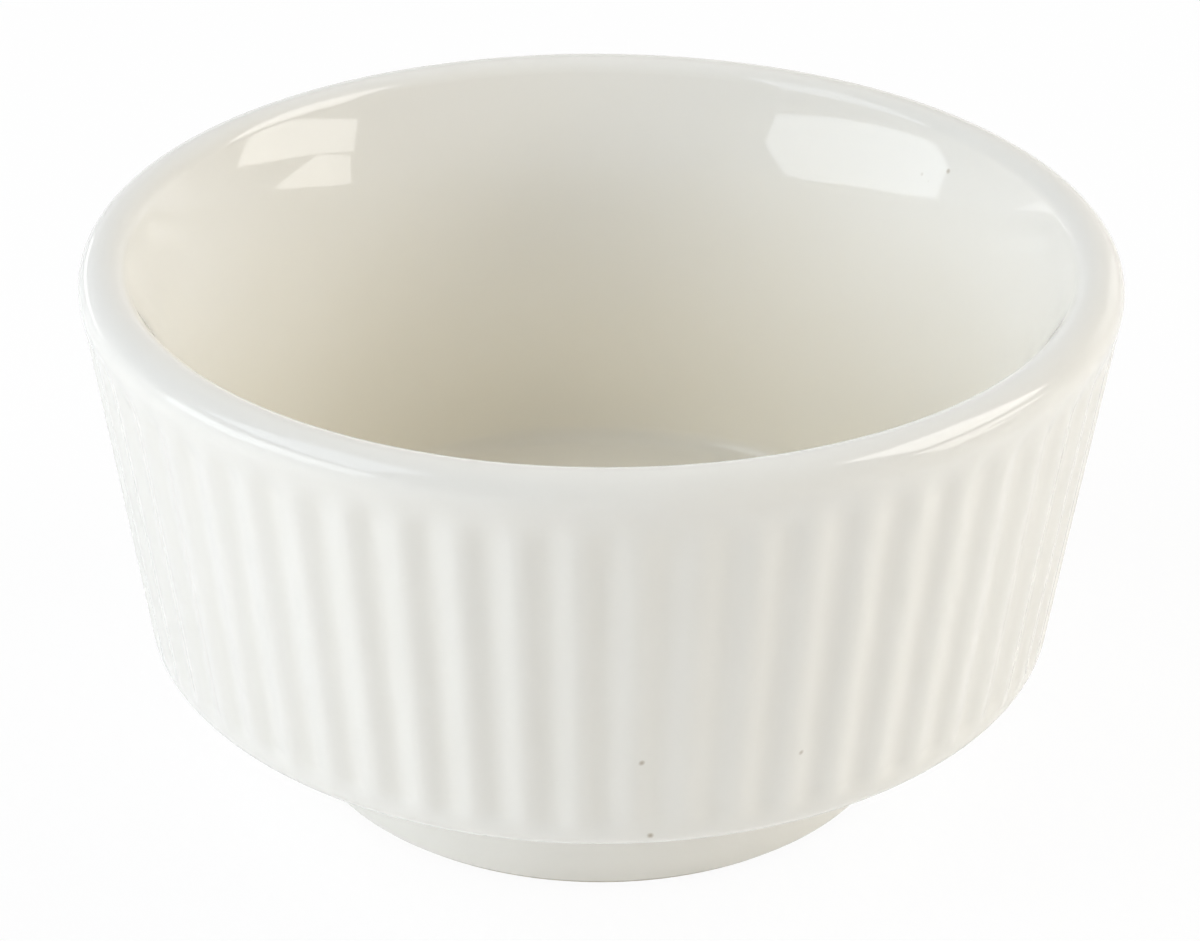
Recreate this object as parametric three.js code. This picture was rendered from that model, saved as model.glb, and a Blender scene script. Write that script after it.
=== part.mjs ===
// A small fluted dip bowl in glazed stoneware, in millimetres, +Z up, standing on Z = 0.
// One fired clay body carries three separate coats of glaze. Each coat shares its faces with the clay.

import * as THREE from 'three';

// Overall sizes, measured over the glaze
const rimDiameter = 70;
const height = 38.3;
const glazeThickness = 0.35;

// Lip: two rounds that meet at the crest
const lipOuterRound = 1.85;
const lipInnerRound = 1.6;

// Outside wall, shoulder and the underside that tucks in to the foot
const outerWallLean = 7.5;
const shoulderHeight = 10.75;
const shoulderRound = 1.1;
const undersideSlope = 30;

// Well: the wall flares out in one long round to the lip
const lipFlareLean = 29;
const flareRound = 30;
const innerWallLean = 11;
const floorHeight = 9.7;
const floorRound = 1.5;

// Foot ring, with its bare standing face and the shallow well inside it
const footDiameter = 41.8;
const footLean = 3;
const footRootRound = 2.4;
const toeRound = 0.4;
const footWellDiameter = 33;
const footWellDepth = 3.4;
const footWellLean = 25;
const footWellRound = 1.8;
const outerGlazeLine = 0.6;
const innerGlazeLine = 0.8;

// Flutes: shallow grooves that fade out at the round of the lip and at the round of the shoulder
const fluteCount = 60;
const fluteDepth = 0.28;
const clayFluteDepth = 0.36;
const fluteTopRunOut = 2.6;
const fluteBottomRunOut = 1.6;
const firstRidgeAngle = 3.85;

// Facets round the bowl, counted for each flute
const plainFacets = 2;
const flutedFacets = 4;
const hiddenPlainFacets = 1;
const hiddenFlutedFacets = 2;

// Facets along each round of the outline
const lipOuterFacets = 4;
const lipInnerFacets = 3;
const flareFacets = 3;
const shoulderFacets = 3;
const footRootFacets = 2;
const toeFacets = 2;
const footWellFacets = 2;
const floorFacets = 4;

const degrees = THREE.MathUtils.degToRad;
const lengthTolerance = 1e-6;

// A corner of an outline, with the round that softens it. A point with no round lies on a straight stretch.
function corner(r, z, round = 0, facets = 1, flute = 0) {
  return { at: new THREE.Vector2(r, z), round, facets, flute };
}

// The normal on the left of a direction of travel.
function leftOf(direction) {
  return new THREE.Vector2(-direction.y, direction.x);
}

// Follows the corners and gives the points of the outline, each with its normal and its share of flute depth.
// `outward` is 1 where the air lies to the left of the way travelled, and -1 where it lies to the right.
function outline(corners, outward) {
  const points = [];
  const add = (at, normal, flute) => {
    const last = points.at(-1);
    if (last === undefined || last.at.distanceTo(at) > lengthTolerance) {
      points.push({ at, normal: normal.clone().multiplyScalar(outward), flute });
    }
  };
  const directions = corners.slice(1).map((next, i) => next.at.clone().sub(corners[i].at).normalize());
  corners.forEach((here, i) => {
    const before = directions[i - 1] ?? directions[0];
    const after = directions[i] ?? directions.at(-1);
    if (here.round === 0) {
      add(here.at.clone(), leftOf(before), here.flute);
      return;
    }
    const turn = Math.atan2(before.cross(after), before.dot(after));
    const tangent = here.round * Math.tan(Math.abs(turn) / 2);
    const start = here.at.clone().addScaledVector(before, -tangent);
    const centre = start.clone().addScaledVector(leftOf(before), here.round * Math.sign(turn));
    for (let k = 0; k <= here.facets; k += 1) {
      const angle = (turn * k) / here.facets;
      const at = start.clone().rotateAround(centre, angle);
      const normal = leftOf(before).rotateAround(new THREE.Vector2(), angle);
      add(at, normal, here.flute);
    }
  });
  return points;
}

// Where the line through `p`, along an angle from level, meets the line through `q` along another.
function crossing(p, angleP, q, angleQ) {
  const along = new THREE.Vector2(Math.cos(angleP), Math.sin(angleP));
  const other = new THREE.Vector2(Math.cos(angleQ), Math.sin(angleQ));
  const distance = q.clone().sub(p).cross(other) / along.cross(other);
  return p.clone().addScaledVector(along, distance);
}

// The length of straight edge that a round takes up on each side of its corner.
function tangentLength(round, turn) {
  return round * Math.tan(turn / 2);
}

// Lip, and the flare below it, which starts where the round of the lip ends
const level = degrees(90);
const rimRadius = rimDiameter / 2;
const crestRadius = rimRadius - lipOuterRound;
const rimTangent = tangentLength(lipOuterRound, level + degrees(outerWallLean));
const rimCorner = crestRadius + rimTangent;
const lipTangent = tangentLength(lipInnerRound, level - degrees(lipFlareLean));
const flareTangent = tangentLength(flareRound, degrees(lipFlareLean - innerWallLean));
const wellCorner = crestRadius - lipTangent;
const alongFlare = new THREE.Vector2(-Math.sin(degrees(lipFlareLean)), -Math.cos(degrees(lipFlareLean)));
const flareCorner = new THREE.Vector2(wellCorner, height).addScaledVector(alongFlare, lipTangent + flareTangent);

// Radius of the straight outside wall, and of the straight wall of the well, at a height
const outerWallRadius = (z) => rimCorner - (height - z) * Math.tan(degrees(outerWallLean));
const wellRadius = (z) => flareCorner.x - (flareCorner.y - z) * Math.tan(degrees(innerWallLean));

// The glazed outline is drawn as if the glaze ran on under the foot, so its lowest line lies one coat below
// the standing face, and the clay, one coat inside it, stands on Z = 0.
const underFoot = -glazeThickness;
const footRadius = footDiameter / 2 + glazeThickness;
const footWellRadius = footWellDiameter / 2 - glazeThickness;
const footWellTop = footWellDepth - glazeThickness;
const footFaceRadius = (z) => footRadius + (z - underFoot) * Math.tan(degrees(footLean));
const footWellFaceRadius = (z) => footWellRadius - (z - underFoot) * Math.tan(degrees(footWellLean));
const shoulder = new THREE.Vector2(outerWallRadius(shoulderHeight), shoulderHeight);
const toe = new THREE.Vector2(footRadius, underFoot);
const footRoot = crossing(shoulder, degrees(undersideSlope), toe, degrees(90 - footLean));

// The flutes take up the whole straight wall, from where the lip's round ends to where the shoulder's starts
const shoulderTangent = tangentLength(shoulderRound, level - degrees(outerWallLean + undersideSlope));
const fluteTop = height - rimTangent * Math.cos(degrees(outerWallLean));
const fluteBottom = shoulderHeight + shoulderTangent * Math.cos(degrees(outerWallLean));

const onOuterWall = (z, flute) => corner(outerWallRadius(z), z, 0, 1, flute);

const outsideOutline = outline([
  corner(crestRadius, height),
  corner(rimCorner, height, lipOuterRound, lipOuterFacets),
  onOuterWall(fluteTop - fluteTopRunOut, 1),
  onOuterWall(fluteBottom + fluteBottomRunOut, 1),
  corner(shoulder.x, shoulder.y, shoulderRound, shoulderFacets),
  corner(footRoot.x, footRoot.y, footRootRound, footRootFacets),
  corner(footFaceRadius(outerGlazeLine), outerGlazeLine),
], 1);

const standingOutline = outline([
  corner(footFaceRadius(outerGlazeLine), outerGlazeLine),
  corner(footRadius, underFoot, toeRound + glazeThickness, toeFacets),
  corner(footWellRadius, underFoot, toeRound + glazeThickness, toeFacets),
  corner(footWellFaceRadius(innerGlazeLine), innerGlazeLine),
], 1);

const footWellOutline = outline([
  corner(footWellFaceRadius(innerGlazeLine), innerGlazeLine),
  corner(footWellFaceRadius(footWellTop), footWellTop, footWellRound, footWellFacets),
  corner(0, footWellTop),
], 1);

const wellOutline = outline([
  corner(crestRadius, height),
  corner(wellCorner, height, lipInnerRound, lipInnerFacets),
  corner(flareCorner.x, flareCorner.y, flareRound, flareFacets),
  corner(wellRadius(floorHeight), floorHeight, floorRound, floorFacets),
  corner(0, floorHeight),
], -1);

// A ring of points round the axis, or the one point where the outline meets the axis.
// `depth` lies along the normal, into the material, and `shift` turns the ring by a share of one facet.
function ring(point, depth, fullFluteDepth, facets, shift) {
  if (Math.abs(point.at.x) < lengthTolerance) {
    return [new THREE.Vector3(0, 0, point.at.y - point.normal.y * depth)];
  }
  const count = facets * fluteCount;
  return Array.from({ length: count }, (unused, i) => {
    const turn = (2 * Math.PI * (i + shift)) / count;
    const groove = (1 - Math.cos(turn * fluteCount)) / 2;
    const inward = depth + point.flute * fullFluteDepth * groove;
    const r = point.at.x - point.normal.x * inward;
    const z = point.at.y - point.normal.y * inward;
    const angle = turn + degrees(firstRidgeAngle);
    return new THREE.Vector3(r * Math.cos(angle), r * Math.sin(angle), z);
  });
}

// The surface that shows: fine facets, half a facet out of step with the ridges, so ridges and grooves are flat.
function glazeRings(points) {
  const shift = 0.5;
  return points.map((p) => ring(p, 0, fluteDepth, p.flute > 0 ? flutedFacets : plainFacets, shift));
}

// The surface one coat deeper, where glaze and clay meet, or where the clay is bare.
function clayRings(points) {
  const facets = (p) => (p.flute > 0 ? hiddenFlutedFacets : hiddenPlainFacets);
  return points.map((p) => ring(p, glazeThickness, clayFluteDepth, facets(p), 0));
}

// Triangles between two rings, whose counts are equal or one a multiple of the other.
function strip(upper, lower) {
  const steps = Math.max(upper.length, lower.length);
  const pick = (points, step) => points[Math.floor((step * points.length) / steps) % points.length];
  const triangles = [];
  for (let step = 0; step < steps; step += 1) {
    const [u0, u1] = [pick(upper, step), pick(upper, step + 1)];
    const [l0, l1] = [pick(lower, step), pick(lower, step + 1)];
    if (l0 !== l1) {
      triangles.push([u0, l0, l1]);
    }
    if (u0 !== u1) {
      triangles.push([u0, l1, u1]);
    }
  }
  return triangles;
}

// The whole surface along a row of rings. It faces out where the air lies to the left of the way travelled.
function surface(rings) {
  return rings.slice(1).flatMap((lower, i) => strip(rings[i], lower));
}

// The same triangles facing the other way.
function turnedOver(triangles) {
  return triangles.map(([a, b, c]) => [a, c, b]);
}

// One closed solid from its surfaces.
function solid(name, material, ...surfaces) {
  const corners = surfaces.flat(2);
  const geometry = new THREE.BufferGeometry().setFromPoints(corners);
  geometry.computeVertexNormals();
  const mesh = new THREE.Mesh(geometry, material);
  mesh.name = name;
  return mesh;
}

const biscuitClay = new THREE.MeshStandardMaterial({ color: 0xe3dac6, roughness: 0.85, metalness: 0 });
const ivoryGlaze = new THREE.MeshStandardMaterial({ color: 0xefece2, roughness: 0.12, metalness: 0 });

const outsideClay = clayRings(outsideOutline);
const standingClay = clayRings(standingOutline);
const footWellClay = clayRings(footWellOutline);
const wellClay = clayRings(wellOutline);
const outsideGlaze = glazeRings(outsideOutline);
const footWellGlaze = glazeRings(footWellOutline);
const wellGlaze = glazeRings(wellOutline);

// The faces at the ends of the coats: at the crest, at the glaze line outside and at the one in the foot well
const crestFace = strip(wellGlaze[0], wellClay[0]);
const outerLineFace = strip(outsideGlaze.at(-1), outsideClay.at(-1));
const innerLineFace = strip(footWellGlaze[0], footWellClay[0]);

const clayBody = solid(
  'clay_body',
  biscuitClay,
  surface(outsideClay),
  surface(standingClay),
  surface(footWellClay),
  turnedOver(surface(wellClay)),
);

const outerGlaze = solid(
  'outer_glaze',
  ivoryGlaze,
  surface(outsideGlaze),
  turnedOver(surface(outsideClay)),
  outerLineFace,
  turnedOver(crestFace),
);

const innerGlaze = solid(
  'inner_glaze',
  ivoryGlaze,
  turnedOver(surface(wellGlaze)),
  surface(wellClay),
  crestFace,
);

const footWellCoat = solid(
  'foot_well_glaze',
  ivoryGlaze,
  surface(footWellGlaze),
  turnedOver(surface(footWellClay)),
  turnedOver(innerLineFace),
);

const dipBowl = new THREE.Group();
dipBowl.name = 'dip_bowl';
dipBowl.add(clayBody, outerGlaze, innerGlaze, footWellCoat);

export default dipBowl;
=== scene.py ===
# %% [markdown]
# # A small fluted dip bowl
#
# The real bowl is one lump of fired clay with three coats of ivory glaze: one lines the well,
# one covers the outside and one fills the round inside the foot ring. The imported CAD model
# already holds these four pieces, a little coarse. This lesson makes each of them again with a
# fine surface, in the same place and with the same sizes, and then lights and frames the bowl.
# All lengths are in metres, +Z points up and the bowl stands on Z = 0.

# %% Load the fixed frame
from math import atan2, ceil, copysign, cos, pi, radians, sin, tan

import bmesh
import bpy
from mathutils import Matrix, Quaternion, Vector


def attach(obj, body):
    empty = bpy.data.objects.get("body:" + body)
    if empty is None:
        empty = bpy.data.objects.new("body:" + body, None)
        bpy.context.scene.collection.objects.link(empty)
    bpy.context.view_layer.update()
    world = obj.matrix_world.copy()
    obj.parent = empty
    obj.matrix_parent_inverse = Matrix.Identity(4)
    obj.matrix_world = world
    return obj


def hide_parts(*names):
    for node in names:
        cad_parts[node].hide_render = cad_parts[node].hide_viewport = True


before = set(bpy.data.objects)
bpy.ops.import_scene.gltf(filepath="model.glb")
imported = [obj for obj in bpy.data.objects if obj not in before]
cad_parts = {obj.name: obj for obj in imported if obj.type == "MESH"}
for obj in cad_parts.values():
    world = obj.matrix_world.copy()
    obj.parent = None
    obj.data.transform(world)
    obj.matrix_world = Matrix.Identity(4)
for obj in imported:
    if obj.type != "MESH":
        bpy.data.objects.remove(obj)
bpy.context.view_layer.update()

print("pieces of the frame:", sorted(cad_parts))

# %% [markdown]
# ## The outline
#
# A potter turns a bowl against a template, so one outline decides its whole shape. It could be a
# curve that is drawn by hand, but then no size of the bowl could be read from it. Here the outline
# is a short list of corners, each with the round that softens it, and a small function walks from
# corner to corner. The way runs from the middle of the well up to the lip, down the outside, under
# the foot and back to the axis, so the air always lies on its left and the normals come for free.

# %% Walk along corners and rounds
same_point = 1e-8


def corner(r, z, rounding=0.0, spacing=0.002):
    """A corner, its round, and how far apart points lie on the straight stretch after it."""
    return Vector((r, z)), rounding, spacing


def left_of(way):
    """The direction on the left of a way."""
    return Vector((-way.y, way.x))


def walk(corners, arc_step, spread=1.0):
    """Points along the corners, as pairs of a place and the normal there.

    `arc_step` is the turn between points on a round, and `spread` thins out the straights.
    """
    points = []

    def add(place, normal):
        if not points or (place - points[-1][0]).length > same_point:
            points.append((place, normal))

    ways = [(b[0] - a[0]).normalized() for a, b in zip(corners, corners[1:])]
    for i, (at, rounding, spacing) in enumerate(corners):
        before = ways[max(i - 1, 0)]
        after = ways[min(i, len(ways) - 1)]
        turn = atan2(before.cross(after), before.dot(after))
        start = at - before * (rounding * tan(abs(turn) / 2))
        if points:
            last = points[-1][0]
            count = ceil((start - last).length / gap)
            for k in range(1, count):
                add(last.lerp(start, k / count), left_of(before))
        gap = spacing * spread
        centre = start + left_of(before) * (rounding * copysign(1, turn))
        steps = ceil(abs(turn) / arc_step) if rounding else 0
        for k in range(steps + 1):
            swing = Matrix.Rotation(turn * k / max(steps, 1), 2)
            add(centre + swing @ (start - centre), swing @ left_of(before))
    return points


trial = walk([corner(0, 0), corner(0.01, 0, 0.002), corner(0.01, 0.01)], radians(15))
print("a right angle with a 2 mm round becomes", len(trial), "points")

# %% Sizes of the lip and of the two walls
height = 0.0383
rim_radius = 0.035
lip_outer_round = 0.00185
lip_inner_round = 0.0016
crest_radius = rim_radius - lip_outer_round
crest_flat = 0.00002

outer_wall_lean = radians(7.5)
rim_tangent = lip_outer_round * tan((pi / 2 + outer_wall_lean) / 2)
rim_corner = crest_radius + rim_tangent


def outer_wall(z):
    """Radius of the outside wall at a height."""
    return rim_corner - (height - z) * tan(outer_wall_lean)


lip_flare_lean = radians(29)
flare_round = 0.030
inner_wall_lean = radians(11)
floor_height = 0.0097
floor_round = 0.0015

lip_tangent = lip_inner_round * tan((pi / 2 - lip_flare_lean) / 2)
flare_tangent = flare_round * tan((lip_flare_lean - inner_wall_lean) / 2)
well_corner = crest_radius - lip_tangent
down_the_flare = Vector((-sin(lip_flare_lean), -cos(lip_flare_lean)))
flare_corner = Vector((well_corner, height)) + down_the_flare * (lip_tangent + flare_tangent)
floor_corner = flare_corner.x - (flare_corner.y - floor_height) * tan(inner_wall_lean)
print("lip in mm:", round(1000 * (lip_outer_round + lip_inner_round), 2))
print("floor corner at radius in mm:", round(1000 * floor_corner, 2))

# %% Sizes of the shoulder and the foot
shoulder_height = 0.01075
shoulder_round = 0.0011
underside_slope = radians(30)
coat = 0.00035

under_foot = -coat
foot_radius = 0.0209 + coat
foot_lean = radians(3)
foot_root_round = 0.0024
foot_well_radius = 0.0165 - coat
foot_well_lean = radians(25)
foot_well_top = 0.0034 - coat
foot_well_round = 0.0018
toe_round = 0.0004 + coat
outer_glaze_line = 0.0006
inner_glaze_line = 0.0008


def foot_face(z):
    """Radius of the foot's outside at a height."""
    return foot_radius + (z - under_foot) * tan(foot_lean)


def foot_well_face(z):
    """Radius of the slope inside the foot ring at a height."""
    return foot_well_radius - (z - under_foot) * tan(foot_well_lean)


shoulder = Vector((outer_wall(shoulder_height), shoulder_height))
root_run = (shoulder.x - foot_face(shoulder.y)) / (1 - tan(underside_slope) * tan(foot_lean))
foot_root = shoulder - Vector((root_run, root_run * tan(underside_slope)))
print("underside meets the foot at in mm:", [round(1000 * x, 2) for x in foot_root])

# %% Where the flutes run
shoulder_tangent = shoulder_round * tan((pi / 2 - outer_wall_lean - underside_slope) / 2)
flute_top = height - rim_tangent * cos(outer_wall_lean)
flute_top_run_out = 0.0026
flute_bottom = shoulder_height + shoulder_tangent * cos(outer_wall_lean)
flute_bottom_run_out = 0.0016
full_flute_top = flute_top - flute_top_run_out
full_flute_bottom = flute_bottom + flute_bottom_run_out
print("flutes from z to z in mm:", round(1000 * flute_bottom, 2), round(1000 * flute_top, 2))

# %% Corners of the four stretches
run_out_spacing = 0.00022

well_corners = [
    corner(0, floor_height, spacing=0.003),
    corner(floor_corner, floor_height, floor_round),
    corner(*flare_corner, flare_round),
    corner(well_corner - crest_flat, height, lip_inner_round),
    corner(crest_radius, height),
]
outside_corners = [
    corner(crest_radius, height),
    corner(rim_corner + crest_flat, height, lip_outer_round, spacing=run_out_spacing),
    corner(outer_wall(full_flute_top), full_flute_top, spacing=0.0015),
    corner(outer_wall(full_flute_bottom), full_flute_bottom, spacing=run_out_spacing),
    corner(*shoulder, shoulder_round),
    corner(*foot_root, foot_root_round),
    corner(foot_face(outer_glaze_line), outer_glaze_line),
]
standing_corners = [
    corner(foot_face(outer_glaze_line), outer_glaze_line),
    corner(foot_radius, under_foot, toe_round),
    corner(foot_well_radius, under_foot, toe_round),
    corner(foot_well_face(inner_glaze_line), inner_glaze_line),
]
foot_well_corners = [
    corner(foot_well_face(inner_glaze_line), inner_glaze_line),
    corner(foot_well_face(foot_well_top), foot_well_top, foot_well_round),
    corner(0, foot_well_top),
]
stretches = (well_corners, outside_corners, standing_corners, foot_well_corners)
print("corners from the middle of the well to the middle below:", [len(stretch) for stretch in stretches])

# %% [markdown]
# ## Four outlines from one
#
# Glaze is a skin of even thickness, so the face of the clay is the same outline, one coat deeper
# along the normal. A coat is then a closed loop: out along the face that shows and back along the
# face that sticks to the clay. Its end at the glaze line is rounded, as melted glass is. The clay
# body is the whole way from axis to axis, one coat deep, and bare only where it stands.

# %% Outlines of the clay and the coats
fine = radians(5)
coarse = radians(15)
hidden_spread = 3.0
edge_steps = 8


def deeper(points):
    """The same outline, one coat further in."""
    return [(place - normal * coat, normal) for place, normal in points]


def hidden(corners):
    """The face between glaze and clay, with fewer points because nobody sees it."""
    return deeper(walk(corners, coarse, hidden_spread))


def rolled_edge(point, way):
    """The rounded end of a coat at its glaze line. `way` is where the coat would have run on to."""
    place, normal = point
    rim = coat / 2
    centre = place - normal * rim
    turns = [pi * k / edge_steps for k in range(1, edge_steps)]
    return [(centre + (normal * cos(t) + way * sin(t)) * rim, normal) for t in turns]


well_shown, well_hidden = walk(well_corners, fine), hidden(well_corners)
outside_shown, outside_hidden = walk(outside_corners, fine), hidden(outside_corners)
standing_hidden = deeper(walk(standing_corners, fine))
foot_well_shown, foot_well_hidden = walk(foot_well_corners, fine), hidden(foot_well_corners)

down_the_foot = Vector((-sin(foot_lean), -cos(foot_lean)))
down_the_foot_well = Vector((sin(foot_well_lean), -cos(foot_well_lean)))

inner_glaze_outline = well_shown + well_hidden[::-1]
outer_edge = rolled_edge(outside_shown[-1], down_the_foot)
outer_glaze_outline = outside_shown + outer_edge + outside_hidden[::-1] + outside_shown[:1]
foot_well_edge = rolled_edge(foot_well_shown[0], down_the_foot_well)
foot_well_glaze_outline = foot_well_hidden[::-1] + foot_well_edge[::-1] + foot_well_shown
clay_outline = well_hidden + outside_hidden[1:] + standing_hidden[1:] + foot_well_hidden[1:]
for name, outline in (("clay", clay_outline), ("well", inner_glaze_outline),
                      ("outside", outer_glaze_outline), ("foot well", foot_well_glaze_outline)):
    print(f"{name}: {len(outline)} points")

# %% [markdown]
# ## The wheel
#
# A potter's wheel turns the outline into a bowl, and a fluting tool then cuts sixty shallow grooves.
# The Screw modifier could turn the outline too, but it knows nothing of flutes. This Geometry Nodes
# tree does both: it lays out a grid, bends each row of the grid into a ring, and lets every ring
# sink in where a groove passes. The outline carries a few facts to the tree as attributes: `air`, the
# way out of the surface, `flute`, the share of the full groove depth at that height, `free`, how far
# the wall could sag in the kiln, and `pool_and_painted_light`, how thick the melted glaze has run
# together in the well, with painted shade there, and where the foot and low wall are painted paler
# as painted light.

# %% Inputs of the wheel, and helpers for node trees
def add_node(tree, kind, inputs, **settings):
    """A node with its settings, and its inputs set to values or linked to other sockets."""
    node = tree.nodes.new(kind)
    for name, value in settings.items():
        setattr(node, name, value)
    for key, value in inputs.items():
        if isinstance(value, bpy.types.NodeSocket):
            tree.links.new(value, node.inputs[key])
        else:
            node.inputs[key].default_value = value
    return node


def calculate(tree, operation, *values):
    """One step of arithmetic."""
    return add_node(tree, "ShaderNodeMath", dict(enumerate(values)), operation=operation).outputs[0]


def scaled(tree, vector, factor):
    """A vector times a number."""
    return add_node(tree, "ShaderNodeVectorMath", {0: vector, "Scale": factor}, operation="SCALE").outputs[0]


wheel = bpy.data.node_groups.new("potters_wheel", "GeometryNodeTree")
wheel_inputs = {
    "Outline": "NodeSocketGeometry",
    "Facets round": "NodeSocketInt",
    "Flutes": "NodeSocketInt",
    "Flute depth": "NodeSocketFloat",
    "First ridge": "NodeSocketFloat",
    "Waver": "NodeSocketFloat",
    "Waver size": "NodeSocketFloat",
    "Seed": "NodeSocketFloat",
    "Finish": "NodeSocketMaterial",
}
wheel_ids = {
    name: wheel.interface.new_socket(name, in_out="INPUT", socket_type=kind).identifier
    for name, kind in wheel_inputs.items()
}
wheel.interface.new_socket("Piece", in_out="OUTPUT", socket_type="NodeSocketGeometry")
given = add_node(wheel, "NodeGroupInput", {}).outputs
print("inputs of the wheel:", ", ".join(wheel_inputs))

# %% Rows of the grid follow the outline, columns go round
def whole_number(operation, *values):
    """One step of arithmetic with whole numbers."""
    return add_node(wheel, "FunctionNodeIntegerMath", dict(enumerate(values)), operation=operation).outputs[0]


points_round = whole_number("ADD", given["Facets round"], 1)
outline_size = add_node(wheel, "GeometryNodeAttributeDomainSize", {"Geometry": given["Outline"]})
grid = add_node(wheel, "GeometryNodeMeshGrid", {
    "Vertices X": outline_size.outputs["Point Count"],
    "Vertices Y": points_round,
})
index = add_node(wheel, "GeometryNodeInputIndex", {}).outputs["Index"]
row = whole_number("DIVIDE", index, points_round)
column = whole_number("MODULO", index, points_round)
turn = calculate(wheel, "MULTIPLY", calculate(wheel, "DIVIDE", column, given["Facets round"]), 2 * pi)


def on_outline(value, kind):
    """A value of the outline's point that this row follows."""
    inputs = {"Geometry": given["Outline"], "Value": value, "Index": row}
    return add_node(wheel, "GeometryNodeSampleIndex", inputs, data_type=kind, domain="POINT").outputs["Value"]


def carried(name, kind):
    """An attribute that the outline carries, at this row."""
    attribute = add_node(wheel, "GeometryNodeInputNamedAttribute", {"Name": name}, data_type=kind)
    return on_outline(attribute.outputs["Attribute"], kind)


def turned_round(flat):
    """A vector of the outline's plane, turned to this column's direction."""
    inputs = {"Vector": flat, "Axis": (0, 0, 1), "Angle": turn}
    return add_node(wheel, "ShaderNodeVectorRotate", inputs, rotation_type="AXIS_ANGLE").outputs["Vector"]


position = add_node(wheel, "GeometryNodeInputPosition", {}).outputs["Position"]
spot = turned_round(on_outline(position, "FLOAT_VECTOR"))
outward = turned_round(carried("air", "FLOAT_VECTOR"))
print("nodes that bend the grid:", len(wheel.nodes))

# %% Flutes, and the slight waver of hand-finished clay
ridge_turn = calculate(wheel, "SUBTRACT", turn, given["First ridge"])
wave = calculate(wheel, "COSINE", calculate(wheel, "MULTIPLY", ridge_turn, given["Flutes"]))
# The wave runs from 1 to -1, and the trough from 0 on a ridge to 1 in the middle of a groove.
trough = calculate(wheel, "MULTIPLY_ADD", wave, -0.5, 0.5)
groove = calculate(wheel, "MULTIPLY", carried("flute", "FLOAT"), trough)
sunk = calculate(wheel, "MULTIPLY", groove, given["Flute depth"])

unevenness = add_node(wheel, "ShaderNodeTexNoise", {
    "Vector": spot,
    "W": given["Seed"],
    "Scale": calculate(wheel, "DIVIDE", 1.0, given["Waver size"]),
    "Detail": 0.0,
}, noise_dimensions="4D").outputs[0]
# The noise runs from 0 to 1, and the swing as far in as out.
swing = calculate(wheel, "MULTIPLY", calculate(wheel, "MULTIPLY_ADD", unevenness, 2.0, -1.0), given["Waver"])
waver = calculate(wheel, "MULTIPLY", swing, carried("free", "FLOAT"))
shift = scaled(wheel, outward, calculate(wheel, "SUBTRACT", waver, sunk))
print("nodes with flutes and waver:", len(wheel.nodes))

# %% Bend the grid, close it and give it its finish
def marked(geometry, name, value):
    """The geometry with a value kept on its points, for the finish to read."""
    inputs = {"Geometry": geometry, "Name": name, "Value": value}
    kept = add_node(wheel, "GeometryNodeStoreNamedAttribute", inputs, data_type="FLOAT", domain="POINT")
    return kept.outputs[0]


bent = add_node(wheel, "GeometryNodeSetPosition", {
    "Geometry": grid.outputs["Mesh"],
    "Position": spot,
    "Offset": shift,
})
same_place = 1e-6
with_groove = marked(bent.outputs[0], "groove", groove)
# Pooling with painted shade in the well, and painted light on the foot and low wall.
with_pool_and_painted_light = marked(with_groove, "pool_and_painted_light", carried("pool_and_painted_light", "FLOAT"))
closed = add_node(wheel, "GeometryNodeMergeByDistance", {"Geometry": with_pool_and_painted_light, "Distance": same_place})
smoothed = add_node(wheel, "GeometryNodeSetShadeSmooth", {"Geometry": closed.outputs[0]})
realized = add_node(wheel, "GeometryNodeRealizeInstances", {"Geometry": smoothed.outputs[0]})
finished = add_node(wheel, "GeometryNodeSetMaterial", {
    "Geometry": realized.outputs[0],
    "Material": given["Finish"],
})
add_node(wheel, "NodeGroupOutput", {"Piece": finished.outputs[0]})
print("nodes in the whole wheel:", len(wheel.nodes))

# %% [markdown]
# ## What the outline tells the wheel
#
# A fluting tool is lifted gently at both ends of its stroke, so each groove fades out below the lip
# and above the shoulder. Melted glaze runs down, so it lies thickest on the floor of the well, and the
# deeper tone there is also painted shade, darker towards the bottom of the well. Round the foot and
# the low wall the glaze is painted paler: painted light where the shoulder's shade falls. These shares
# could be painted on the finished mesh by hand. Worked out along the outline they follow every change
# of its sizes.

# %% Shares along the outline
# Height from which the well's tone deepens: pooled glaze and painted shade, darker towards the floor.
well_pool_and_shade_top = 0.034
# Height up to which the foot and low wall are painted paler, as painted light.
painted_light_top = 0.012


def eased(t):
    """A soft step from 0 to 1."""
    t = min(max(t, 0.0), 1.0)
    return t * t * (3 - 2 * t)


def flute_share(place, normal):
    """Share of the full groove depth at a point of the outline."""
    if normal.x < 0:
        return 0.0
    from_top = eased((flute_top - place.y) / flute_top_run_out)
    return from_top * eased((place.y - flute_bottom) / flute_bottom_run_out)


def pool_and_painted_light_share(place, normal):
    """How far the glaze has run together, with painted shade in the well: 1 on the floor of the well. On the
    foot and low wall it is down to -1, painted light that makes them paler.
    """
    if normal.x <= 0 and normal.y >= 0:
        return eased((well_pool_and_shade_top - place.y) / (well_pool_and_shade_top - floor_height))
    return -eased((painted_light_top - place.y) / painted_light_top)


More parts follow.
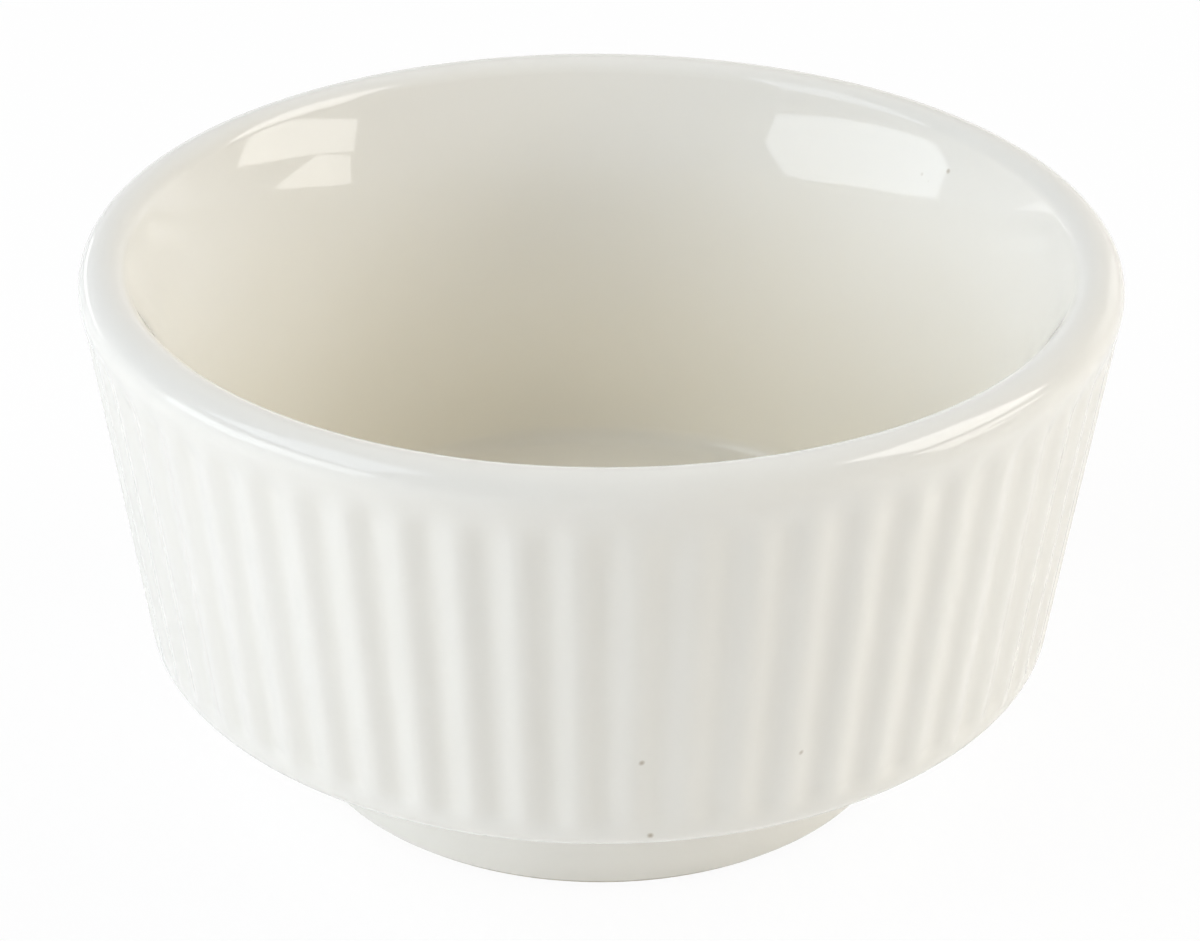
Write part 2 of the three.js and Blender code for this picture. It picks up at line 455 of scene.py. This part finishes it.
def outline_mesh(name, outline):
    """The outline as points in the XZ plane, with what the wheel has to know of each."""
    mesh = bpy.data.meshes.new(name)
    mesh.from_pydata([(place.x, 0, place.y) for place, normal in outline], [], [])
    air = [x for place, normal in outline for x in (normal.x, 0, normal.y)]
    mesh.attributes.new("air", "FLOAT_VECTOR", "POINT").data.foreach_set("vector", air)
    flute = [flute_share(place, normal) for place, normal in outline]
    mesh.attributes.new("flute", "FLOAT", "POINT").data.foreach_set("value", flute)
    free = [eased((place.y - foot_well_top) / (shoulder_height - foot_well_top)) for place, normal in outline]
    mesh.attributes.new("free", "FLOAT", "POINT").data.foreach_set("value", free)
    # Pooling with painted shade in the well, and painted light on the foot and low wall.
    pool_and_painted_light = [pool_and_painted_light_share(place, normal) for place, normal in outline]
    mesh.attributes.new("pool_and_painted_light", "FLOAT", "POINT").data.foreach_set("value", pool_and_painted_light)
    return mesh


half_way_down = Vector((outer_wall(height / 2), height / 2))
print("share of the groove half-way down the wall:", flute_share(half_way_down, Vector((1, 0))))

# %% Throw a piece on the wheel
flute_count = 60
flute_depth = 0.00028
first_ridge = radians(3.85)
waver_height = 0.00005
waver_size = 0.016
waver_seed = 4.0
sharpest_smooth_edge = radians(50)


def throw(name, outline, facets, finish):
    """Turns an outline into a closed piece with a plain mesh."""
    piece = bpy.data.objects.new(name, outline_mesh(name + "_outline", outline))
    bpy.context.scene.collection.objects.link(piece)
    turning = piece.modifiers.new("wheel", "NODES")
    turning.node_group = wheel
    settings = {
        "Facets round": facets,
        "Flutes": flute_count,
        "Flute depth": flute_depth,
        "First ridge": first_ridge,
        "Waver": waver_height,
        "Waver size": waver_size,
        "Seed": waver_seed,
        "Finish": finish,
    }
    for label, value in settings.items():
        turning[wheel_ids[label]] = value
    mesh = bpy.data.meshes.new_from_object(piece.evaluated_get(bpy.context.evaluated_depsgraph_get()))
    piece.modifiers.remove(turning)
    piece.data = mesh
    mesh.name = name
    mesh.set_sharp_from_angle(angle=sharpest_smooth_edge)
    return piece


def describe(piece):
    """Prints the size of a piece and whether its skin is closed and faces out."""
    skin = bmesh.new()
    skin.from_mesh(piece.data)
    triangles = sum(len(face.verts) - 2 for face in skin.faces)
    open_edges = sum(len(edge.link_faces) != 2 for edge in skin.edges)
    millilitres = 1e6 * skin.calc_volume(signed=True)
    skin.free()
    print(f"{piece.name}: {triangles} triangles, {open_edges} open edges, {millilitres:.2f} ml")


print("flutes in mm apart below the lip:", round(1000 * 2 * pi * outer_wall(full_flute_top) / flute_count, 2))

# %% [markdown]
# ## Ivory glaze
#
# The glaze is a thin milky glass: glossy, a little cream, and never quite even. Where it runs thin
# over a ridge it is paler, and where it pools in a groove it is deeper. A few pinholes show where a
# bubble burst in the kiln. A flat colour would look like plastic, so soft noises vary the tone, the
# gloss and the skin, and the `groove` attribute from the wheel says where glaze pools.

# %% Tones of the glaze
def blended(tree, factor, colour_a, colour_b):
    """A colour between two others."""
    inputs = {0: factor, 6: colour_a, 7: colour_b}
    return add_node(tree, "ShaderNodeMix", inputs, data_type="RGBA").outputs[2]


thin_glaze = (0.915, 0.898, 0.845, 1)
# Deep tone of pooled glaze; in the well it is also painted shade, darker towards the floor.
pooled_and_shaded_glaze = (0.868, 0.826, 0.714, 1)
# Painted light: a paler tone on the foot and low wall, where the shoulder's shade falls.
painted_light_glaze = (0.96, 0.945, 0.89, 1)
burst_bubble = (0.52, 0.46, 0.37, 1)
cloud_tone = 0.24
groove_tone = 0.08
smoothest = 0.02
dullest = 0.05
glass_ior = 1.5
glass_specular = 0.5
print("glaze, painted light, thin and pooled with painted shade:", painted_light_glaze[:3], thin_glaze[:3], pooled_and_shaded_glaze[:3])

# %% Pinholes in the glaze
pinhole_radius = 0.00013
pinhole_edge = 2.0 * pinhole_radius
pinhole_core = 0.4 * pinhole_radius
outside_pinholes = (
    (4.8, 0.01735), (23.2, 0.01645), (19.4, 0.01435), (6.0, 0.0114), (-97.0, 0.0262), (164.0, 0.0198),
)
well_pinholes = ((129.7, 0.03465), (128.2, 0.0344), (125.4, 0.03555), (-38.0, 0.0225))


def well_wall(z):
    """Radius of the well at a height above its floor's round."""
    lean = lip_flare_lean if z > flare_corner.y else inner_wall_lean
    return flare_corner.x - (flare_corner.y - z) * tan(lean)


def pinholes(tree, place):
    """1 inside a pinhole, fading to 0 around it. Places are degrees from the front and a height."""
    found = 0.0
    for places, radius_at in ((outside_pinholes, outer_wall), (well_pinholes, well_wall)):
        for degrees, z in places:
            r = radius_at(z)
            centre = (r * sin(radians(degrees)), -r * cos(radians(degrees)), z)
            away = add_node(tree, "ShaderNodeVectorMath", {0: place, 1: centre}, operation="DISTANCE")
            hole = add_node(tree, "ShaderNodeMapRange", {
                "Value": away.outputs["Value"],
                "From Min": pinhole_edge,
                "From Max": pinhole_core,
            }).outputs["Result"]
            found = calculate(tree, "MAXIMUM", hole, found)
    return found


print("pinholes:", len(outside_pinholes), "outside and", len(well_pinholes), "in the well")

# %% Mix the glaze
# A scale is the number of clouds in a metre.
cloud_scale = 90.0
cloud_detail = 3.0
gloss_scale = 120.0
gloss_detail = 2.0
peel_scale = 500.0
peel_detail = 1.0
peel_strength = 0.03
peel_depth = 0.0001
pinhole_dent = 2.0


def noise(tree, place, scale, detail):
    """Soft clouds between 0 and 1."""
    inputs = {"Vector": place, "Scale": scale, "Detail": detail}
    return add_node(tree, "ShaderNodeTexNoise", inputs).outputs["Fac"]


def ivory_glaze():
    """Milky ivory glaze, glossy, deeper where it pools and with painted shade deeper in the well, painted
    paler round the foot as painted light, with soft clouds and a few pinholes.
    """
    material = bpy.data.materials.new("ivory_glaze")
    material.use_nodes = True
    tree = material.node_tree
    shader = tree.nodes["Principled BSDF"]
    place = add_node(tree, "ShaderNodeTexCoord", {}).outputs["Object"]

    groove = add_node(tree, "ShaderNodeAttribute", {}, attribute_name="groove").outputs["Fac"]
    # Pooling with painted shade in the well, and painted light on the foot and low wall.
    pool_and_painted_light = add_node(tree, "ShaderNodeAttribute", {}, attribute_name="pool_and_painted_light").outputs["Fac"]
    clouds = noise(tree, place, cloud_scale, cloud_detail)
    # A quarter is taken off, so that clouds also make the glaze paler.
    cloudy = calculate(tree, "MULTIPLY_ADD", clouds, cloud_tone, -cloud_tone / 4)
    grooved = calculate(tree, "MULTIPLY_ADD", groove, groove_tone, cloudy)
    # Deeper tone where glaze pools, and painted shade towards the well's floor.
    pooled_and_shaded_tone = blended(tree, calculate(tree, "ADD", pool_and_painted_light, grooved), thin_glaze, pooled_and_shaded_glaze)
    # Paler tone on the foot and low wall: painted light.
    tone = blended(tree, calculate(tree, "MULTIPLY", pool_and_painted_light, -1.0), pooled_and_shaded_tone, painted_light_glaze)
    holes = pinholes(tree, place)
    tree.links.new(blended(tree, holes, tone, burst_bubble), shader.inputs["Base Color"])

    gloss = noise(tree, place, gloss_scale, gloss_detail)
    roughness = calculate(tree, "MULTIPLY_ADD", gloss, dullest - smoothest, smoothest)
    tree.links.new(roughness, shader.inputs["Roughness"])
    shader.inputs["IOR"].default_value = glass_ior
    shader.inputs["Specular IOR Level"].default_value = glass_specular

    peel = noise(tree, place, peel_scale, peel_detail)
    dents = calculate(tree, "MULTIPLY", holes, pinhole_dent)
    skin = add_node(tree, "ShaderNodeBump", {
        "Strength": peel_strength,
        "Distance": peel_depth,
        "Height": calculate(tree, "SUBTRACT", peel, dents),
    })
    tree.links.new(skin.outputs["Normal"], shader.inputs["Normal"])
    return material


glaze = ivory_glaze()
print("nodes in the glaze:", len(glaze.node_tree.nodes))

# %% [markdown]
# ## Bare clay
#
# The standing ring is wiped clean before the second firing, because melted glaze would stick to the
# kiln shelf. It is matt, a little darker than the glaze and finely grained.

# %% Fire the clay
dark_clay = (0.70, 0.64, 0.53, 1)
pale_clay = (0.80, 0.75, 0.65, 1)
clay_roughness = 0.85
grain_scale = 900.0
grain_detail = 4.0
grain_strength = 0.4
grain_depth = 0.0002


def biscuit_clay():
    """Matt fired clay with a fine grain."""
    material = bpy.data.materials.new("biscuit_clay")
    material.use_nodes = True
    tree = material.node_tree
    shader = tree.nodes["Principled BSDF"]
    place = add_node(tree, "ShaderNodeTexCoord", {}).outputs["Object"]
    grain = noise(tree, place, grain_scale, grain_detail)
    tree.links.new(blended(tree, grain, dark_clay, pale_clay), shader.inputs["Base Color"])
    shader.inputs["Roughness"].default_value = clay_roughness
    skin = add_node(tree, "ShaderNodeBump", {
        "Strength": grain_strength,
        "Distance": grain_depth,
        "Height": grain,
    })
    tree.links.new(skin.outputs["Normal"], shader.inputs["Normal"])
    return material


clay = biscuit_clay()
print("nodes in the clay:", len(clay.node_tree.nodes))

# %% [markdown]
# ## The four pieces
#
# In the workshop the clay body comes first and the coats follow, and here too every piece is thrown
# by itself, from its own outline. One mesh with painted zones would look the same, but then no coat
# could be taken off. The outside gets the most facets round, so that each flute has twelve of them.

# %% Throw the four pieces
fluted_facets = 12 * flute_count
plain_facets = 480
small_facets = 360
orders = (
    ("bowl_clay", "clay_body", "biscuit_clay", clay_outline, small_facets, clay),
    ("bowl_inner_glaze", "inner_glaze", "ivory_glaze", inner_glaze_outline, plain_facets, glaze),
    ("bowl_outer_glaze", "outer_glaze", "ivory_glaze", outer_glaze_outline, fluted_facets, glaze),
    ("bowl_foot_well_glaze", "foot_well_glaze", "ivory_glaze", foot_well_glaze_outline, small_facets, glaze),
)
for name, node, slot, outline, facets, finish in orders:
    piece = throw(name, outline, facets, finish)
    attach(piece, "root")
    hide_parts(node)
    describe(piece)

# %% [markdown]
# ## The table
#
# The bowl stands on a white table that runs out of sight. A plain white table would turn grey towards
# its end, where less light arrives. So the eye sees mostly a steady white there, and the rest is the
# lit table, which keeps the bowl's soft shadow. Mirror images in the glaze show both in equal parts.
# From below the table is clear as glass, so that the foot can be looked at too.

# %% Table
table_reach = 1.5
table_drop = 0.00002
table_white = (0.99, 0.99, 0.99, 1)
steady_share = 0.94
mirrored_share = 0.5


def kinds_of_ray(tree):
    """Two numbers: 1 for a ray from the camera, and 1 for one from a mirror image or through glass."""
    path = add_node(tree, "ShaderNodeLightPath", {}).outputs
    mirrored = calculate(tree, "MAXIMUM", path["Is Glossy Ray"], path["Is Transmission Ray"])
    return path["Is Camera Ray"], mirrored


def white_table():
    """White table: its lit colour keeps the shadow, and a steady white hides where it ends."""
    material = bpy.data.materials.new("white_table")
    material.use_nodes = True
    tree = material.node_tree
    tree.nodes.clear()
    lit = add_node(tree, "ShaderNodeBsdfDiffuse", {"Color": table_white}).outputs[0]
    steady = add_node(tree, "ShaderNodeEmission", {"Color": (1, 1, 1, 1), "Strength": 1.0}).outputs[0]
    in_view, mirrored = kinds_of_ray(tree)
    viewed = calculate(tree, "MULTIPLY", in_view, steady_share)
    share = calculate(tree, "MULTIPLY_ADD", mirrored, mirrored_share, viewed)
    mixed = add_node(tree, "ShaderNodeMixShader", {0: share, 1: lit, 2: steady}).outputs[0]
    from_below = add_node(tree, "ShaderNodeNewGeometry", {}).outputs["Backfacing"]
    clear = add_node(tree, "ShaderNodeBsdfTransparent", {}).outputs[0]
    one_sided = add_node(tree, "ShaderNodeMixShader", {0: from_below, 1: mixed, 2: clear}).outputs[0]
    add_node(tree, "ShaderNodeOutputMaterial", {"Surface": one_sided})
    return material


def staged(name, spots, material):
    """A flat card or floor of the photo studio, which is no part of the bowl."""
    mesh = bpy.data.meshes.new(name)
    mesh.from_pydata(spots, [], [range(len(spots))])
    mesh.materials.append(material)
    card = bpy.data.objects.new(name, mesh)
    bpy.context.scene.collection.objects.link(card)
    return card


table_ends = ((-1, -1), (1, -1), (1, 1), (-1, 1))
table_corners = [(x * table_reach, y * table_reach, -table_drop) for x, y in table_ends]
staged("table", table_corners, white_table())
print("table in m:", 2 * table_reach)

# %% [markdown]
# ## The room
#
# Behind the table the room is white as well. A glossy bowl mirrors the room, and a white ceiling in
# every mirror image would wash the lip out, so the ceiling that mirrors see is dim. The room itself
# gives no light: that is left to the lamps, which can be aimed.

# %% Room
wall_white = 0.85
ceiling_white = 0.2
ceiling_from = 0.1
ceiling_full = 0.5
world = bpy.data.worlds.new("white_room")
world.use_nodes = True
bpy.context.scene.world = world
world_tree = world.node_tree
world_shader = world_tree.nodes["Background"]
world_shader.inputs["Color"].default_value = (1, 1, 1, 1)
direction = add_node(world_tree, "ShaderNodeTexCoord", {}).outputs["Generated"]
upward = add_node(world_tree, "ShaderNodeSeparateXYZ", {"Vector": direction}).outputs["Z"]
mirrored_room = add_node(world_tree, "ShaderNodeMapRange", {
    "Value": upward,
    "From Min": ceiling_from,
    "From Max": ceiling_full,
    "To Min": wall_white,
    "To Max": ceiling_white,
}).outputs["Result"]
in_view, mirrored = kinds_of_ray(world_tree)
strength = calculate(world_tree, "MULTIPLY_ADD", mirrored, mirrored_room, in_view)
world_tree.links.new(strength, world_shader.inputs["Strength"])
print("nodes in the room:", len(world_tree.nodes))

# %% [markdown]
# ## The lights
#
# The bright patches on the glaze are mirror images of a studio: a big cool softbox on the left, a warm
# window with two panes on the right, a skylight above each and two small openings behind. They could be
# painted on the bowl, but then they would not move with the eye. Here each is a glowing card, and its
# corners are the directions in which the patch's corners look away from the glaze. Soft lamps that no
# mirror image shows fill in the rest of the light.

# %% Kinds of light
lamp_distance = 0.9


def light_card(name, corners, glow, colour, mirrored_glow=1.0):
    """A glowing card. Its corners are degrees of azimuth and elevation, seen from the middle of the rim.

    Azimuth 0 is the camera's side and counts up to the right. `mirrored_glow` is the share of the
    glow that mirror images show.
    """
    spots = []
    for azimuth, elevation in corners:
        turn, climb = radians(azimuth), radians(elevation)
        way = Vector((sin(turn) * cos(climb), -cos(turn) * cos(climb), sin(climb)))
        spots.append(Vector((0, 0, height)) + way * lamp_distance)
    material = bpy.data.materials.new(name)
    material.use_nodes = True
    tree = material.node_tree
    tree.nodes.clear()
    mirrored = kinds_of_ray(tree)[1]
    strength = calculate(tree, "MULTIPLY_ADD", mirrored, glow * (mirrored_glow - 1), glow)
    emission = add_node(tree, "ShaderNodeEmission", {"Color": (*colour, 1), "Strength": strength})
    add_node(tree, "ShaderNodeOutputMaterial", {"Surface": emission.outputs[0]})
    staged(name, spots, material).visible_camera = False


def fill_light(name, azimuth, low, high, spread, power, colour):
    """A soft upright lamp that faces the bowl, and that the glaze does not mirror.

    It stands at an azimuth, reaches from a low to a high elevation and spreads across an angle, all in
    degrees. Its power is in watts.
    """
    top, bottom = tan(radians(high)), tan(radians(low))
    lamp = bpy.data.lights.new(name, "AREA")
    lamp.shape = "RECTANGLE"
    lamp.size = 2 * lamp_distance * tan(radians(spread) / 2)
    lamp.size_y = lamp_distance * (top - bottom)
    lamp.energy = power
    lamp.color = colour
    holder = bpy.data.objects.new(name, lamp)
    bpy.context.scene.collection.objects.link(holder)
    turn = radians(azimuth)
    holder.location = Vector((sin(turn), -cos(turn), (top + bottom) / 2)) * lamp_distance
    holder.rotation_euler = (pi / 2, 0, turn)
    holder.visible_glossy = False


print("lamps stand in m from the bowl:", lamp_distance)

# %% Hang the lights
white = (1.0, 1.0, 1.0)
pale_blue = (0.91, 0.955, 1.0)
blue = (0.85, 0.91, 1.0)
cream = (1.0, 0.98, 0.94)
amber = (1.0, 0.94, 0.83)

# Each card has its corners, its glow, its colour and, unless it is all of it, its share in mirror images.
cards = {
    "left_softbox": ([(-100, 13), (-97, 2), (-51, 7), (-45, 16), (-48, 25), (-94, 18)], 3.6, pale_blue, 0.9),
    "left_skylight": ([(-98, 30), (-50, 30), (-50, 60), (-98, 60)], 4.8, blue, 0.5),
    "right_window": ([(106, 12), (80, 15), (70, 15), (68, 23), (97, 21)], 5.3, cream, 0.75),
    "right_window_low": ([(96, 7), (80, 15), (71, 14), (72, 6)], 5.3, cream, 0.75),
    "right_skylight": ([(72, 30), (112, 24), (118, 50), (72, 57)], 4.5, cream),
    "left_back_window": ([(-124, -2), (-152, -2), (-152, 4), (-124, 4)], 1.8, white),
    "right_back_window": ([(124, 0), (150, 0), (150, 16), (124, 18)], 1.2, white),
}
for name, card in cards.items():
    light_card(name, *card)

fill_light("back_fill", 180, 20, 55, 90, power=7.5, colour=cream)
fill_light("front_fill", 0, 22, 45, 70, power=2.0, colour=cream)
fill_light("low_front_fill", 0, 0, 10, 110, power=1.0, colour=amber)
fill_light("low_right_fill", 84, 1, 30, 50, power=0.6, colour=amber)
print("light cards:", len(cards))

# %% [markdown]
# ## The camera
#
# The picture was taken with a long lens from a little above, so the rim shows as a slim ellipse. These
# values come from matching the rim's ellipse, the shoulder and the foot in a picture 1200 pixels wide.
# A lens given in pixels holds for any sensor.

# %% Camera
photo_width = 1200
sensor_width = 36.0
focal_pixels = 3259.4
nearest_seen = 0.01
eye_distance = 0.2278
eye_elevation = radians(28.495)
eye_roll = radians(0.394)
aim = Vector((0, 0, 0.0203))

camera = bpy.data.cameras.new("camera")
camera.sensor_fit = "HORIZONTAL"
camera.sensor_width = sensor_width
camera.lens = focal_pixels * sensor_width / photo_width
camera.clip_start = nearest_seen
camera_holder = bpy.data.objects.new("camera", camera)
bpy.context.scene.collection.objects.link(camera_holder)
gaze = Vector((0, cos(eye_elevation), -sin(eye_elevation)))
camera_holder.location = aim - gaze * eye_distance
level = gaze.to_track_quat("-Z", "Y")
camera_holder.rotation_euler = (level @ Quaternion((0, 0, 1), eye_roll)).to_euler()
bpy.context.scene.camera = camera_holder
bpy.context.scene.view_settings.view_transform = "Standard"
print("lens in mm:", round(camera.lens, 2))
